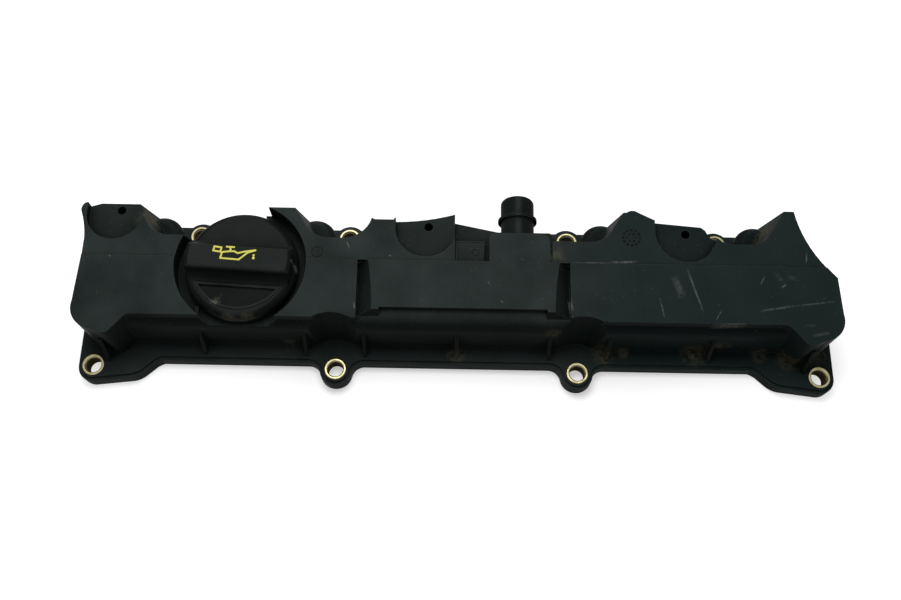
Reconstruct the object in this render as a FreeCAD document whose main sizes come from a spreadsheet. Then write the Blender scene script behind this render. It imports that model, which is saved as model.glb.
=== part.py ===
import FreeCAD, Part
import math
import os
import re
import Sketcher

# Valve cover of a four-cylinder engine: a moulded shell with its bolt flange, pressed sleeves,
# gasket, oil separator and screwed oil filler cap. X runs along the engine, Y from the front
# edge to the hose side, Z up from the crest of the gasket.
SIZES = {
    # flange and its bolts
    "wall": 3.0,
    "flange_top": 10.0,
    "flange_ledge": 8.2,
    "flange_lip": 1.9,
    "face_gap": 0.6,
    "flange_front": 36.1,
    "flange_rear": 43.4,
    "flange_corner": 18.0,
    "flange_taper": 36.0,
    "bolt_pitch": 137.5,
    "bolt_front": 42.0,
    "bolt_rear": 38.6,
    "rear_inner": 64.6,
    "rear_outer": 153.2,
    "lug_radius": 7.2,
    "lug_blend": 9.0,
    "end_pad": 20.0,
    "end_pad_blend": 18.0,
    "sleeve_radius": 6.1,
    "sleeve_bore": 4.5,
    "sleeve_proud": 1.0,
    "sleeve_mouth": 0.5,
    "sleeve_fit": 0.02,
    # main body
    "body_front": 27.2,
    "body_top": 45.0,
    "bullnose": 12.0,
    "bullnose_half": 190.0,
    "top_height": 50.0,
    "front_height": 47.3,
    "crease": 9.4,
    "crease_step": 0.7,
    "plate_floor": 46.8,
    "panel_front": 23.7,
    "body_half": 209.5,
    "end_waist": 207.5,
    "pocket_rear": 43.4,
    "tip_rear": 42.6,
    # recesses over the bolts
    "front_recess": 17.5,
    "front_recess_top": 21.1,
    "arch_radius": 16.6,
    "arch_foot": 10.4,
    "arch_flat": 9.0,
    "arch_blend": 14.0,
    "arch_slope": 58.0,
    "lobe_radius": 12.0,
    "lobe_top": 30.0,
    "lobe_round": 5.0,
    "lobe_shift": 18.0,
    "lobe_back": 31.0,
    # shallow pockets in the rear edge
    "pocket_radius": 17.0,
    "pocket_end_radius": 15.6,
    "pocket_floor": 43.5,
    "pocket_hole": 2.5,
    "pocket_hole_depth": 9.0,
    # raised centre panel between two sloping sides
    "centre_left": 55.5,
    "centre_right": 61.5,
    "centre_floor": 43.0,
    "centre_front": 17.5,
    "centre_side_front": 21.5,
    "centre_rear_inset": 5.8,
    "centre_front_inset": 12.6,
    # ribs on the front
    "rib_width": 1.8,
    "rib_top": 40.5,
    "rib_foot": 34.8,
    "rib_beside": 16.6,
    "rib_outer": 143.0,
    "rib_corner": 197.0,
    # hollow underside
    "hollow_half": 203.0,
    "hollow_rear": 22.0,
    # breather box and hose spigot
    "box_left": 17.0,
    "box_right": 50.6,
    "box_rear": 26.6,
    "box_round": 5.0,
    "plate_right": 14.3,
    "box_groove": 43.5,
    "box_step": 47.2,
    "box_step_width": 1.4,
    "shoulder_left": 2.2,
    "shoulder_rear": 36.4,
    "shoulder_low": 31.4,
    "shoulder_top": 40.0,
    "spigot_x": 33.2,
    "spigot_height": 40.0,
    "spigot_bore": 6.6,
    "neck_radius": 9.3,
    "collar_radius": 11.0,
    "collar_start": 37.2,
    "collar_width": 1.6,
    "barrel_radius": 9.4,
    "barrel_end": 51.1,
    "barrel_round": 3.0,
    # filler neck and cap
    "cap_x": 120.0,
    "cap_y": 6.3,
    "well_radius": 36.3,
    "well_floor": 37.5,
    "cap_base_rear": 34.0,
    "filler_bore": 20.4,
    "filler_outer": 24.0,
    "filler_top": 40.6,
    "filler_depth": 28.0,
    "seal_height": 2.0,
    "stem_gap": 0.4,
    "stem_wall": 2.6,
    "stem_length": 17.0,
    "cap_radius": 31.4,
    "cap_flat": 27.0,
    "cap_top": 47.6,
    "cap_rim": 43.6,
    "cap_skirt": 40.8,
    "cap_wall": 2.6,
    "grip_top": 57.0,
    "grip_reach": 29.5,
    "grip_half": 7.5,
    "grip_foot": 12.0,
    "grip_turn": -3.0,
    "grip_round": 2.0,
    "bead": 1.6,
    "bead_width": 1.2,
    "bead_height": 0.6,
    "scoop": 0.9,
    # gasket
    "gasket_width": 3.2,
    "gasket_crest": 1.4,
    "gasket_height": 3.4,
    "gasket_half": 208.6,
    "gasket_front": 31.4,
    "gasket_rear": 27.0,
    "gasket_corner": 12.0,
    "groove_gap": 0.3,
    # oil separator under the roof
    "tray_half": 46.0,
    "tray_front": 20.0,
    "tray_rear": 18.0,
    "tray_height": 26.0,
    "tray_wall": 2.4,
    "plate_thick": 2.0,
    "boss_radius": 3.6,
    "boss_inset": 5.0,
    "screw_radius": 1.5,
    "screw_head": 3.0,
    "screw_head_height": 2.0,
    "screw_length": 10.0,
    "screw_fit": 0.05,
    "drain_radius": 4.0,
    "drain_length": 9.0,
    "slot_width": 3.0,
    "slot_length": 22.0,
}

doc = FreeCAD.newDocument("valve_cover")
sheet = doc.addObject("Spreadsheet::Sheet", "Sizes")
for row, (alias, size) in enumerate(SIZES.items(), start=1):
    sheet.set(f"A{row}", alias)
    sheet.set(f"B{row}", str(size))
    sheet.setAlias(f"B{row}", alias)
doc.recompute()

X, Y, Z = FreeCAD.Vector(1, 0, 0), FreeCAD.Vector(0, 1, 0), FreeCAD.Vector(0, 0, 1)
ORIGIN = FreeCAD.Vector(0, 0, 0)
# a sketch in each of the three planes, its own X and Y along the axes named
PLANES = {
    "XY": FreeCAD.Rotation(X, Y, Z, "XYZ"),
    "XZ": FreeCAD.Rotation(X, Z, -Y, "XYZ"),
    "YZ": FreeCAD.Rotation(Y, Z, X, "XYZ"),
}
SIZE_NAMES = {alias: "Sizes." + alias for alias in SIZES}


def named(text):
    """An expression with every word that is a size of the sheet pointed at its cell."""
    return re.sub(r"[a-z]\w*", lambda word: SIZE_NAMES.get(word.group(), word.group()), text)


def bind(thing, **sizes):
    for prop, text in sizes.items():
        thing.setExpression(prop, named(text))
    return thing


def place(thing, x="0", y="0", z="0"):
    for axis, text in zip("xyz", (x, y, z)):
        thing.setExpression(f"Placement.Base.{axis}", named(text))
    return thing


def block(name, corner, size):
    box = doc.addObject("Part::Box", name)
    bind(box, Length=size[0], Width=size[1], Height=size[2])
    return place(box, *corner)


def cylinder(name, radius, height, foot):
    rod = doc.addObject("Part::Cylinder", name)
    bind(rod, Radius=radius, Height=height)
    return place(rod, *foot)


def cone(name, low, high, height, foot):
    frustum = doc.addObject("Part::Cone", name)
    bind(frustum, Radius1=low, Radius2=high, Height=height)
    return place(frustum, *foot)


def outline(name, corners, plane="XY", at="0"):
    """A closed sketch through corners (x, y) or (x, y, radius).

    A radius makes the edge that leaves its corner an arc: above zero it bulges to the right
    of the way it runs, below zero to the left.
    """
    sketch = doc.addObject("Sketcher::SketchObject", name)
    sketch.Placement = FreeCAD.Placement(ORIGIN, PLANES[plane])
    axis = {"XY": "z", "XZ": "y", "YZ": "x"}[plane]
    sketch.setExpression(f"Placement.Base.{axis}", named(at))
    texts = [[named(part) for part in corner] for corner in corners]
    points = [FreeCAD.Vector(float(sketch.evalExpression(t[0])), float(sketch.evalExpression(t[1])), 0)
              for t in texts]
    ends = []
    for index, text in enumerate(texts):
        start, end = points[index], points[(index + 1) % len(points)]
        if len(text) == 2:
            edge = Part.LineSegment(start, end)
        else:
            radius = float(sketch.evalExpression(text[2]))
            half = (end - start) * 0.5
            side = FreeCAD.Vector(half.y, -half.x, 0).normalize() * math.copysign(1, radius)
            rise = abs(radius) - math.sqrt(radius ** 2 - half.Length ** 2)
            middle = start + half + side * rise
            edge = Part.Arc(start, middle, end) if radius > 0 else Part.Arc(end, middle, start)
        sketch.addGeometry(edge)
        backwards = len(text) == 3 and radius < 0
        ends.append((2, 1) if backwards else (1, 2))
    for index, text in enumerate(texts):
        after = (index + 1) % len(texts)
        sketch.addConstraint(Sketcher.Constraint(
            "Coincident", index, ends[index][1], after, ends[after][0]))
        for kind, part in (("DistanceX", 0), ("DistanceY", 1)):
            number = sketch.addConstraint(Sketcher.Constraint(
                kind, index, ends[index][0], float(sketch.evalExpression(text[part]))))
            sketch.setExpression(f"Constraints[{number}]", text[part])
        if len(text) == 3:
            number = sketch.addConstraint(Sketcher.Constraint(
                "Radius", index, abs(float(sketch.evalExpression(text[2])))))
            sketch.setExpression(f"Constraints[{number}]", f"abs({text[2]})")
    return sketch


def extrude(name, sketch, height):
    solid = doc.addObject("Part::Extrusion", name)
    solid.Base = sketch
    solid.DirMode = "Normal"
    solid.Solid = True
    return bind(solid, LengthFwd=height)


def fuse(name, parts):
    whole = doc.addObject("Part::MultiFuse", name)
    whole.Shapes = parts
    return whole


def group(name, parts):
    """Pieces that lie clear of one another, held as one."""
    whole = doc.addObject("Part::Compound", name)
    whole.Links = parts
    return whole


def cut(name, base, tools):
    """Each tool taken from the base in turn."""
    for index, tool in enumerate(tools, start=1):
        step = doc.addObject("Part::Cut", name if index == len(tools) else f"{name}_{index}")
        step.Base = base
        step.Tool = tool
        base = step
    return base


def common(name, parts):
    whole = doc.addObject("Part::MultiCommon", name)
    whole.Shapes = parts
    return whole


def mirrored(name, source, normal=X):
    copy = doc.addObject("Part::Mirroring", name)
    copy.Source = source
    copy.Normal = normal
    return copy


def both(name, source):
    """The piece and its mirror image at the other end of the cover."""
    return [source, mirrored(name + "_other", source)]


def loft(name, sections):
    solid = doc.addObject("Part::Loft", name)
    solid.Sections = sections
    solid.Solid = True
    solid.Ruled = True
    return solid


def revolve(name, sketch, axis, base=ORIGIN):
    solid = doc.addObject("Part::Revolution", name)
    solid.Source = sketch
    solid.Axis = axis
    solid.Base = base
    solid.Angle = 360
    solid.Solid = True
    return solid


def node(label, thing):
    thing.Label = label
    NODES.append(thing)
    return thing


NODES = []


FLANGE_END = "(bolt_pitch * 1.5 + lug_radius)"


# The bolt flange: an upper plate on a slightly wider lip, with a lug round every bolt.
# The lugs in the middle run into the straight edge with hollow blends, and the two end
# lugs at the front are long pads.
def flange_plate(name, grow, foot, height):
    half = f"{FLANGE_END} + {grow}"
    plate = extrude(name, outline(name + "_outline", [
        (f"-({half})", f"flange_rear + {grow} - 6", "-6"),
        (f"-({half}) + 6", f"flange_rear + {grow}"),
        (f"{half} - flange_corner", f"flange_rear + {grow}"),
        (half, f"flange_rear + {grow} - flange_taper"),
        (half, f"-(flange_front + {grow})"),
        (f"-({half})", f"-(flange_front + {grow})"),
    ], at=foot), height)
    pieces = [plate]
    for row, column in (("rear", "rear_inner"), ("rear", "rear_outer")):
        lug = cylinder(f"{name}_{column}", f"lug_radius + {grow}", height, (column, f"bolt_{row}", foot))
        pieces += both(lug.Name, lug)
    inner = cylinder(name + "_lug", f"lug_radius + {grow}", height, ("bolt_pitch / 2", "-bolt_front", foot))
    reach = "sqrt((lug_radius + lug_blend) ^ 2 - (flange_front + lug_blend - bolt_front) ^ 2)"
    web = extrude(name + "_web", outline(name + "_web_outline", [
        (f"bolt_pitch / 2 - {reach}", "-(flange_front - 2)"),
        (f"bolt_pitch / 2 - {reach}", f"-(flange_front + lug_blend)"),
        ("bolt_pitch / 2", "-bolt_front"),
        (f"bolt_pitch / 2 + {reach}", "-(flange_front + lug_blend)"),
        (f"bolt_pitch / 2 + {reach}", "-(flange_front - 2)"),
    ], at=foot), height)
    blends = [cylinder(f"{name}_blend_{side}", f"lug_blend - {grow}", height,
                       (f"bolt_pitch / 2 {sign} {reach}", "-(flange_front + lug_blend)", foot))
              for side, sign in (("in", "-"), ("out", "+"))]
    pieces += both(name + "_lug", inner)
    web = cut(name + "_web_cut", web, blends)
    pieces += both(web.Name, web)
    bolt = "bolt_pitch * 1.5"
    outer = f"lug_radius + {grow}"
    pad = extrude(name + "_pad", outline(name + "_pad_outline", [
        (f"{bolt} + {outer}", "-bolt_front", f"-({outer})"),
        (bolt, f"-(bolt_front + {outer})"),
        (f"{bolt} - end_pad", f"-(bolt_front + {outer} - 2.4)", "-14"),
        (f"{bolt} - end_pad - 8", f"-(bolt_front + {outer} - 5.6)"),
        (f"{bolt} - end_pad - 14", f"-(flange_front + {grow} + 2)", "14"),
        (f"{bolt} - end_pad - end_pad_blend", f"-(flange_front + {grow})"),
        (f"{bolt} - end_pad - end_pad_blend", "-(flange_front - 2)"),
        (f"{bolt} + {outer}", "-(flange_front - 2)"),
    ], at=foot), height)
    pieces += both(pad.Name, pad)
    return fuse(name + "_whole", pieces)


upper = flange_plate("flange_upper", "0", "flange_ledge", "flange_top - flange_ledge")
lower = flange_plate("flange_lower", "flange_lip", "face_gap", "flange_ledge - face_gap")


# The top of the cover falls from a crease towards the front edge.
def top_profile(name, below):
    slope = "(top_height - front_height) / (crease + panel_front)"
    return extrude(name, outline(name + "_outline", [
        ("-60", "face_gap + 1"),
        ("60", "face_gap + 1"),
        ("60", f"top_height - crease_step - {below}"),
        ("crease", f"top_height - crease_step - {below}"),
        ("crease", f"top_height - {below}"),
        ("-60", f"top_height - {below} - {slope} * (crease + 60)"),
    ], plane="YZ", at="-body_half * 1.1"), "body_half * 2.2")


# The plan of the top, from the left rear corner round by the front.
plan = outline("top_plan", [
    ("-(body_half + 0.4)", "pocket_rear - 2.4", "5"),
    ("-(body_half + 2)", "pocket_rear - 7", "-60"),
    ("-end_waist", "20"),
    ("-end_waist", "8"),
    ("-body_half", "-17", "12"),
    ("-(body_half - 10.5)", "-32"),
    ("-(body_half - 15.5)", "-(panel_front + 10.2)", "5"),
    ("-(body_half - 22)", "-(panel_front + 9)"),
    ("-(body_half - 28)", "-(panel_front + 2.2)", "-6"),
    ("-(body_half - 33)", "-panel_front"),
    ("body_half - 33", "-panel_front", "-6"),
    ("body_half - 28", "-(panel_front + 2.2)"),
    ("body_half - 22", "-(panel_front + 9)", "5"),
    ("body_half - 15.5", "-(panel_front + 10.2)"),
    ("body_half - 10.5", "-32", "12"),
    ("body_half", "-17"),
    ("end_waist + 0.5", "3.5", "-70"),
    ("end_waist - 19.5", "tip_rear + 0.6"),
    ("rear_outer - 3", "tip_rear + 0.6"),
    ("rear_outer - 3", "bolt_rear - 4"),
    ("141.5", "31"),
    ("136.5", "35"),
    ("111", "37.2"),
    ("109", "36.6"),
    ("100.5", "tip_rear - 1.8", "5"),
    ("94", "tip_rear - 1.8"),
    ("rear_inner + 5", "tip_rear - 1.8"),
    ("rear_inner + 5", "22.6"),
    ("-shoulder_left", "22.6"),
    ("-shoulder_left", "tip_rear - 2.2", "-120"),
    ("-36", "35.2"),
    ("-36.5", "34"),
    ("-47", "34"),
    ("-(rear_inner - 5)", "40.2"),
    ("-(cap_x - 10)", "40.2"),
    ("-(cap_x - 10)", "22"),
    ("-(rear_outer - 3)", "22"),
    ("-(rear_outer - 3)", "pocket_rear"),
    ("-(body_half - 7)", "pocket_rear"),
], at="flange_ledge")
slab = common("top_slab", [extrude("top_prism", plan, "top_height"), top_profile("top_planes", "0")])
gap = block("centre_gap", ("-centre_left", "-60", "flange_top + 2"),
            ("centre_left + centre_right", "60 + crease", "top_height"))

# The bullnose below the panels: one long block with its upper front edge rounded.
nose = extrude("bullnose_bar", outline("bullnose_section", [
    ("-body_front", "flange_ledge"),
    ("crease", "flange_ledge"),
    ("crease", "body_top"),
    ("-(body_front - bullnose)", "body_top", "bullnose"),
    ("-body_front", "body_top - bullnose"),
], plane="YZ", at="-bullnose_half"), "bullnose_half * 2")

# Low shoulder behind the top and the bulges beside the rear bolts.
shoulder = extrude("shoulder", outline("shoulder_outline", [
    ("-shoulder_left", "crease"),
    ("rear_inner", "crease"),
    ("rear_inner", "shoulder_low"),
    ("22", "shoulder_low"),
    ("-shoulder_left", "shoulder_rear"),
], at="flange_ledge"), "shoulder_top - flange_ledge")
cap_base = block("cap_base", ("-(cap_x + 30)", "crease", "flange_ledge"),
                 ("60", "cap_base_rear - crease", "well_floor - flange_ledge"))
body = fuse("body_block", [cut("slab_gapped", slab, [gap]), nose, shoulder, cap_base])


# Rear bolt recess: wide at the top with one straight slanting side, drafted to the flange.
def arch(name, x, grow, mirror):
    angle = "arch_slope"
    rings = []
    for part, at, radius, flat, blend in (
            ("foot", "flange_top", f"arch_foot + {grow}", "arch_flat / 3", f"arch_blend * 0.57 + {grow}"),
            ("rim", "top_height + 2", f"arch_radius + {grow}", "arch_flat", f"arch_blend + {grow}")):
        low = f"bolt_rear - ({radius})"
        knee_x = f"{flat} + ({blend}) * sin({angle})"
        knee_y = f"{low} + ({blend}) - ({blend}) * cos({angle})"
        rings.append(outline(f"{name}_{part}", [
            (f"{x} - ({radius})", "bolt_rear + 14"),
            (f"{x} - ({radius})", "bolt_rear", radius),
            (x, low),
            (f"{x} + {flat}", low, blend),
            (f"{x} + {knee_x}", knee_y),
            (f"{x} + {knee_x} + (bolt_rear + 14 - ({knee_y})) * cos({angle}) / sin({angle})",
             "bolt_rear + 14"),
        ], at=at))
    tool = loft(name, rings)
    return mirrored(name + "_left", tool) if mirror else tool


def recesses(name, grow):
    """Everything that stands clear of the bolts and the cap, grown by a wall for the inside."""
    tools = [arch(f"{name}_{column}_{side}", column, grow, side == "left")
             for column in ("rear_inner", "rear_outer") for side in ("right", "left")]
    rise = "(front_recess_top - front_recess) / (front_height - flange_top)"
    dish = cone(f"{name}_front", f"front_recess + {grow}",
                f"front_recess + {grow} + {rise} * (top_height + 5 - flange_top)",
                "top_height + 5 - flange_top", ("bolt_pitch / 2", "-bolt_front", "flange_top"))
    tools += both(dish.Name, dish)
    return group(name + "_recesses", tools)


def pockets(name, grow):
    tools = []
    for index, (x, y, radius) in enumerate(POCKETS):
        foot = f"pocket_floor - {grow}"
        round_end = cylinder(f"{name}_{index}", f"{radius} + {grow}", "top_height", (x, y, foot))
        open_end = block(f"{name}_{index}_open", (f"{x} - {radius} - {grow}", y, foot),
                         (f"2 * ({radius} + {grow})", "30", "top_height"))
        tools.append(fuse(f"{name}_{index}_whole", [round_end, open_end]))
    return group(name + "s", tools)


POCKETS = [("-192.6", "34.8", "pocket_end_radius"), ("-18.4", "28.9", "pocket_radius"),
           ("126.5", "28.3", "pocket_radius")]
HOLES = [("-190.8", "39.1"), ("-17", "32.3"), ("127.6", "30.4")]
well = cylinder("cap_well", "well_radius", "top_height", ("-cap_x", "cap_y", "well_floor"))
plate_step = block("plate_step", ("-shoulder_left", "crease", "plate_floor"),
                   ("plate_right + shoulder_left", "30", "top_height"))
grooves = [block("box_groove_left", ("plate_right", "crease", "box_groove"),
                 ("box_left - plate_right", "30", "top_height")),
           block("box_groove_right", ("box_right", "crease", "box_step"),
                 ("box_step_width", "30", "top_height"))]
quads = [block("centre_step_left", ("-centre_left", "-centre_side_front - 4", "centre_floor"),
               ("centre_front_inset + 0.2", "centre_side_front + 4 + crease", "top_height")),
         block("centre_step_right", ("centre_right - centre_front_inset - 0.2", "-centre_side_front - 4",
                                     "centre_floor"),
               ("centre_front_inset + 0.2", "centre_side_front + 4 + crease", "top_height"))]
clear = recesses("clear", "0")
carved = cut("body_carved", body, [clear, pockets("pocket", "0"),
                                   group("well_and_quads", [well] + quads), plate_step, group("box_grooves", grooves)])

# The raised panel between its sloping sides.
low_ring = outline("centre_low", [
    ("-centre_left", "crease"), ("-centre_left", "-centre_side_front"),
    ("centre_right", "-centre_side_front"), ("centre_right", "crease")], at="centre_floor")
high_ring = outline("centre_high", [
    ("-(centre_left - centre_rear_inset)", "crease"), ("-(centre_left - centre_front_inset)", "-centre_front"),
    ("centre_right - centre_front_inset", "-centre_front"), ("centre_right - centre_rear_inset", "crease")],
    at="top_height")
centre_clear = block("centre_clear", ("-(centre_left - centre_front_inset)", "-60", "centre_floor - 1"),
                     ("centre_left + centre_right - 2 * centre_front_inset", "60 - centre_front", "20"))
centre = common("centre_panel", [
    cut("centre_wedge", loft("centre_loft", [low_ring, high_ring]), [centre_clear, clear]),
    top_profile("centre_planes", "0")])

lobes = []
for column in ("rear_inner", "rear_outer"):
    lobe = revolve("lobe_" + column, outline("lobe_section_" + column, [
        ("0", "flange_ledge"),
        ("lobe_radius", "flange_ledge"),
        ("lobe_radius", "lobe_top - lobe_round", "lobe_round"),
        ("lobe_radius - lobe_round", "lobe_top"),
        ("0", "lobe_top"),
    ], plane="XZ"), Z)
    place(lobe, f"{column} + lobe_shift", "lobe_back")
    lobes += both(lobe.Name, lobe)


# Gusset ribs from the bullnose down to the flange.
def rib(name, x, top="rib_top", root="16.4", foot="rib_foot"):
    plate = extrude(name, outline(name + "_outline", [
        (f"-({root})", "flange_ledge"), (f"-({root})", top), (f"-({root} + 8)", top),
        (f"-({foot})", "flange_top"), (f"-({foot})", "flange_ledge")],
        plane="YZ", at=f"{x} - rib_width / 2"), "rib_width")
    return plate


ribs = [rib("rib_centre", "0")]
for index, x in enumerate(("bolt_pitch / 2 - rib_beside", "bolt_pitch / 2 + rib_beside", "rib_outer")):
    ribs += both(f"rib_{index}", rib(f"rib_{index}", x))
ribs += both("rib_corner", rib("rib_corner", "rib_corner", top="32", root="26", foot="40"))

# Breather box on the top, its two rear corners rounded, and the hose spigot behind it.
breather = extrude("breather_box", outline("breather_plan", [
    ("box_left", "crease"),
    ("box_right", "crease"),
    ("box_right", "box_rear - box_round", "box_round"),
    ("box_right - box_round", "box_rear"),
    ("box_left + box_round / 2", "box_rear", "box_round / 2"),
    ("box_left", "box_rear - box_round / 2"),
], at="shoulder_top - 6"), "top_height - shoulder_top + 6")
turned = outline("spigot_section", [
    ("0", "crease + 8"),
    ("neck_radius", "crease + 8"),
    ("neck_radius", "collar_start"),
    ("collar_radius", "collar_start"),
    ("collar_radius", "collar_start + collar_width"),
    ("barrel_radius", "collar_start + collar_width"),
    ("barrel_radius", "barrel_end - barrel_round", "barrel_round"),
    ("barrel_radius - barrel_round", "barrel_end"),
    ("0", "barrel_end"),
])
spigot = revolve("spigot", turned, Y)
place(spigot, "spigot_x", "0", "spigot_height")

# Filler neck standing in its well.
neck = cylinder("filler_neck", "filler_outer", "filler_top - filler_depth", ("-cap_x", "cap_y", "filler_depth"))

# Inside: one long hollow with a wall kept round every recess, the filler bore, the breather
# passage and the wall of the oil separator.
slope = "(top_height - front_height) / (crease + panel_front)"
hollow = extrude("hollow", outline("hollow_section", [
    ("-(body_front - wall)", "-1"),
    ("hollow_rear", "-1"),
    ("hollow_rear", "top_height - crease_step - wall"),
    ("crease", "top_height - crease_step - wall"),
    ("-(body_front - bullnose)", f"top_height - wall - {slope} * (crease + body_front - bullnose)"),
    ("-(body_front - bullnose)", "body_top - wall", "bullnose - wall"),
    ("-(body_front - wall)", "body_top - bullnose"),
], plane="YZ", at="-hollow_half"), "2 * hollow_half")
kept = [
    block("plate_wall", ("-(shoulder_left + wall)", "crease - wall", "plate_floor - wall"),
          ("plate_right + shoulder_left + wall", "30", "20")),
    block("groove_wall_left", ("plate_right - wall / 2", "crease - wall", "box_groove - wall"),
          ("box_left - plate_right + wall", "30", "20")),
    block("groove_wall_right", ("box_right - wall / 2", "crease - wall", "box_step - wall"),
          ("box_step_width + wall", "30", "20")),
    extrude("end_wall", outline("end_wall_outline", [
        ("end_waist + 0.5 - wall", "3.5", "-(70 + wall)"),
        ("end_waist - 19.5 - wall * 1.2", "tip_rear"),
        (FLANGE_END, "tip_rear"),
        (FLANGE_END, "3.5"),
    ], at="-2"), "top_height"),
    cylinder("well_wall", "well_radius + wall", "top_height", ("-cap_x", "cap_y", "well_floor - wall")),
    block("quad_wall_left", ("-(centre_left + wall)", "-30", "centre_floor - wall"),
          ("centre_front_inset + wall", "30 + crease", "20")),
    block("quad_wall_right", ("centre_right - centre_front_inset", "-30", "centre_floor - wall"),
          ("centre_front_inset + wall", "30 + crease", "20")),
]
hollow_clear = cut("hollow_clear", hollow, [recesses("keep", "wall"), pockets("pocket_wall", "wall"),
                                            group("kept_walls", kept)])
tray_outer = block("tray_outer", ("-tray_half", "-tray_front", "tray_height"),
                   ("2 * tray_half", "tray_front + tray_rear", "top_height - tray_height - wall"))
tray_inner = block("tray_inner", ("-(tray_half - tray_wall)", "-(tray_front - tray_wall)", "tray_height - 1"),
                   ("2 * (tray_half - tray_wall)", "tray_front + tray_rear - 2 * tray_wall", "top_height"))
SCREWS = [(x, y) for y in ("-(tray_front - boss_inset)", "tray_rear - boss_inset")
          for x in ("-(tray_half - boss_inset)", "0", "tray_half - boss_inset")]
bosses = [cylinder(f"tray_boss_{index}", "boss_radius", "top_height - tray_height - wall", (x, y, "tray_height"))
          for index, (x, y) in enumerate(SCREWS)]
tray_ring = fuse("tray_ring", [cut("tray_frame", tray_outer, [tray_inner])] + bosses)
hollow_tray = cut("hollow_tray", hollow_clear, [tray_ring])

solid = fuse("cover_solid", [upper, lower, carved, centre, breather, spigot, neck] + lobes + ribs)

bores = [cylinder("filler_hole", "filler_bore", "stem_length + 6",
                  ("-cap_x", "cap_y", "filler_top - stem_length - 2"))]
passage = cylinder("spigot_hole", "spigot_bore", "barrel_end", ("spigot_x", "8", "spigot_height"))
passage.Placement = FreeCAD.Placement(ORIGIN, FreeCAD.Rotation(X, -90))
place(passage, "spigot_x", "8", "spigot_height")
breather_hollow = block("breather_hollow", ("box_left + wall", "crease + wall", "shoulder_top - 4"),
                        ("box_right - box_left - 2 * wall", "box_rear - crease - 2 * wall",
                         "top_height - shoulder_top + 4 - wall"))
for index, (x, y) in enumerate(HOLES):
    bores.append(cylinder(f"pocket_hole_{index}", "pocket_hole", "top_height",
                          (x, y, "pocket_floor - pocket_hole_depth")))
for index, (x, y) in enumerate(SCREWS):
    bores.append(cylinder(f"screw_hole_{index}", "screw_radius + screw_fit", "screw_length + 0.5",
                          (x, y, "tray_height - 1")))
BOLTS = [(f"sleeve_front_{index + 1}", f"bolt_pitch * {index - 1.5}", "-bolt_front") for index in range(4)]
BOLTS += [(f"sleeve_rear_{index + 1}", x, "bolt_rear")
          for index, x in enumerate(("-rear_outer", "-rear_inner", "rear_inner", "rear_outer"))]
for label, x, y in BOLTS:
    bores.append(cylinder(label + "_hole", "sleeve_radius + sleeve_fit", "flange_top + 2", (x, y, "0")))


# Rounded rectangle that the gasket follows, at a distance from its middle line.
def gasket_ring(name, out, foot, height):
    half = f"gasket_half + {out}"
    front = f"gasket_front + {out}"
    rear = f"gasket_rear + {out}"
    corner = f"gasket_corner + {out}"
    return extrude(name, outline(name + "_outline", [
        (f"-({half}) + {corner}", f"-({front})"),
        (f"{half} - ({corner})", f"-({front})", corner),
        (half, f"-({front}) + {corner}"),
        (half, f"{rear} - ({corner})", corner),
        (f"{half} - ({corner})", rear),
        (f"-({half}) + {corner}", rear, corner),
        (f"-({half})", f"{rear} - ({corner})"),
        (f"-({half})", f"-({front}) + {corner}", corner),
    ], at=foot), height)


def gasket_band(name, width, foot, height):
    return cut(name, gasket_ring(name + "_out", f"({width}) / 2", foot, height),
               [gasket_ring(name + "_in", f"(0 - ({width})) / 2", foot, height)])


groove = gasket_band("gasket_groove", "gasket_width + 2 * groove_gap", "0", "gasket_height")
cover = node("cover_shell", cut("cover_shell", solid, [
    hollow_tray, groove, group("round_holes", bores), passage, breather_hollow]))

gasket = node("perimeter_gasket", fuse("perimeter_gasket", [
    gasket_band("gasket_body", "gasket_width", "face_gap + 0.2", "gasket_height - face_gap - 0.2"),
    gasket_band("gasket_bead", "gasket_crest", "0", "gasket_height / 2")]))

# Steel sleeves that take the bolt load, pressed into the lugs.
for label, x, y in BOLTS:
    ring = node(label, revolve(label, outline(label + "_section", [
        ("sleeve_bore", "face_gap"),
        ("sleeve_radius", "face_gap"),
        ("sleeve_radius", "flange_top + sleeve_proud - sleeve_mouth / 2"),
        ("sleeve_radius - sleeve_mouth / 2", "flange_top + sleeve_proud"),
        ("sleeve_bore + sleeve_mouth", "flange_top + sleeve_proud"),
        ("sleeve_bore", "flange_top + sleeve_proud - sleeve_mouth"),
    ], plane="XZ"), Z))
    place(ring, x, y)

# Filler cap: a disc with rounded shoulder, a hollow stem, and a grip bar with scooped sides.
disc = revolve("cap_disc", outline("cap_section", [
    ("filler_bore - stem_gap - stem_wall", "filler_top + seal_height"),
    ("filler_bore - stem_gap - stem_wall", "filler_top - stem_length"),
    ("filler_bore - stem_gap", "filler_top - stem_length"),
    ("filler_bore - stem_gap", "filler_top + seal_height"),
    ("cap_radius - cap_wall", "filler_top + seal_height"),
    ("cap_radius - cap_wall", "cap_skirt"),
    ("cap_radius", "cap_skirt"),
    ("cap_radius", "cap_rim", "cap_top - cap_rim + 0.6"),
    ("cap_flat", "cap_top"),
    ("0", "cap_top"),
    ("0", "cap_top - 3"),
], plane="XZ"), Z)
bar = extrude("grip_bar", outline("grip_section", [
    ("-grip_foot", "cap_top - 1"),
    ("grip_foot", "cap_top - 1"),
    ("grip_foot", "cap_top", "-13"),
    ("grip_half", "grip_top - grip_round", "grip_round * 1.2"),
    ("grip_half - grip_round", "grip_top"),
    ("-(grip_half - grip_round)", "grip_top", "grip_round * 1.2"),
    ("-grip_half", "grip_top - grip_round", "-13"),
    ("-grip_foot", "cap_top"),
], plane="YZ", at="-40"), "80")
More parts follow.
